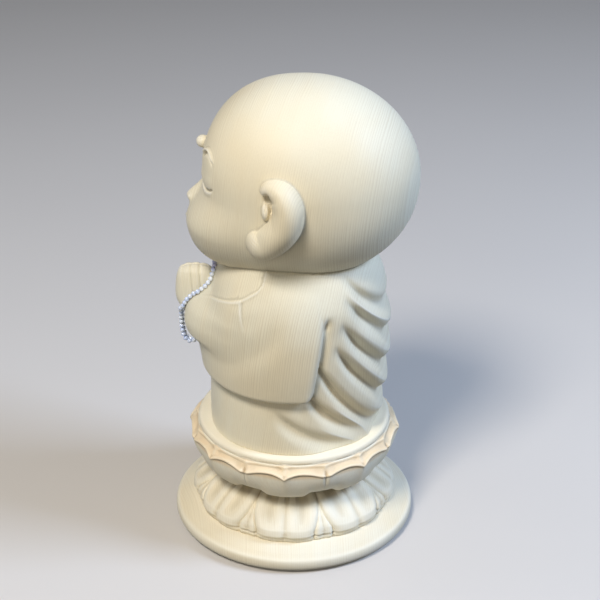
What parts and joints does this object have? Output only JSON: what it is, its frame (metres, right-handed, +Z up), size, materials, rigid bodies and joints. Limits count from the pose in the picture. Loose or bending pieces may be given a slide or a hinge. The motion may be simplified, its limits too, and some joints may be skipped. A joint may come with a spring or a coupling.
{
  "type": "wooden jizo statue",
  "caption": "Standing shaven-headed Jizo figure in pale wood, hands joined with a string of beads, on a carved lotus seat and a round lotus foot.",
  "frame": {"origin": "centre of the foot's flat underside, where the statue stands", "axes": "+Z up, -Y the way the figure faces, +X the figure's left side"},
  "size_m": [0.1608, 0.1608, 0.3034],
  "materials": {
    "figure_wood": "smooth planed, unvarnished",
    "seat_wood": "smooth planed, unvarnished",
    "foot_wood": "smooth planed, unvarnished",
    "beads": "glossy imitation pearl"
  },
  "bodies": {
    "root": {"figure": "figure_wood", "lotus_seat": "seat_wood", "lotus_foot": "foot_wood", "prayer_beads": "beads"}
  },
  "joints": []
}
